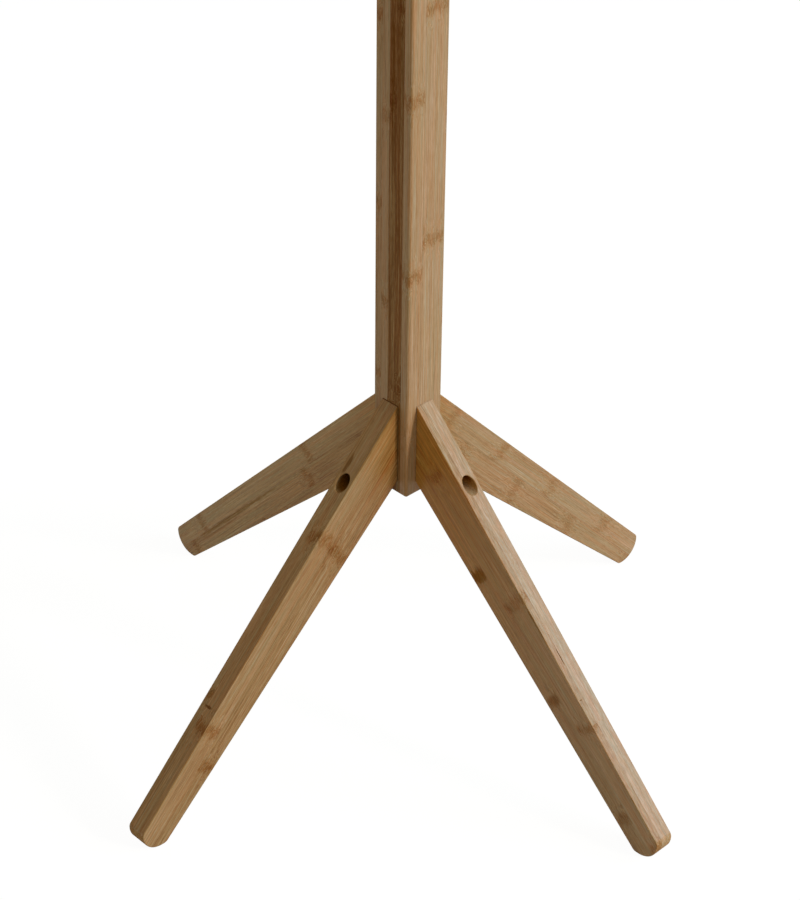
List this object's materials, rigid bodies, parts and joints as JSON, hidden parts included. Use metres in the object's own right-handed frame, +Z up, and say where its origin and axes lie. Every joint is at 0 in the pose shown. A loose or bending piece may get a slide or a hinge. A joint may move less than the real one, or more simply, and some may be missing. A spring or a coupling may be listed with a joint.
{
  "type": "standing coat rack",
  "caption": "Standing coat rack of laminated bamboo: a square post on splayed tapered legs, with tiers of upturned arms to hang coats from.",
  "frame": {"origin": "on the floor, under the middle of the post", "axes": "+Z up the post, -Y the front, and the four legs along +X, -X, +Y and -Y"},
  "size_m": [0.6948, 0.6948, 1.75],
  "materials": {
    "bamboo": "laminated bamboo, steamed brown strips with nodes, satin clear lacquer",
    "beech": "bare beech",
    "black_steel": "steel, black oxide",
    "zinc_steel": "steel, bright zinc plate",
    "brass": "turned brass"
  },
  "bodies": {
    "root": {"lower_post": "bamboo", "upper_post": "bamboo", "leg_right": "bamboo", "leg_back": "bamboo", "leg_left": "bamboo", "leg_front": "bamboo", "upper_arm_right": "bamboo", "upper_arm_back": "bamboo", "upper_arm_left": "bamboo", "upper_arm_front": "bamboo", "lower_arm_right": "bamboo", "lower_arm_back": "bamboo", "lower_arm_left": "bamboo", "lower_arm_front": "bamboo", "leg_bolts": "black_steel", "arm_bolts": "black_steel", "leg_spring_washers": "zinc_steel", "leg_washers": "zinc_steel", "arm_washers": "zinc_steel", "leg_inserts": "brass", "arm_inserts": "brass", "post_stud_inserts": "brass", "leg_dowels": "beech", "arm_dowels": "beech", "post_stud": "zinc_steel"}
  },
  "joints": []
}
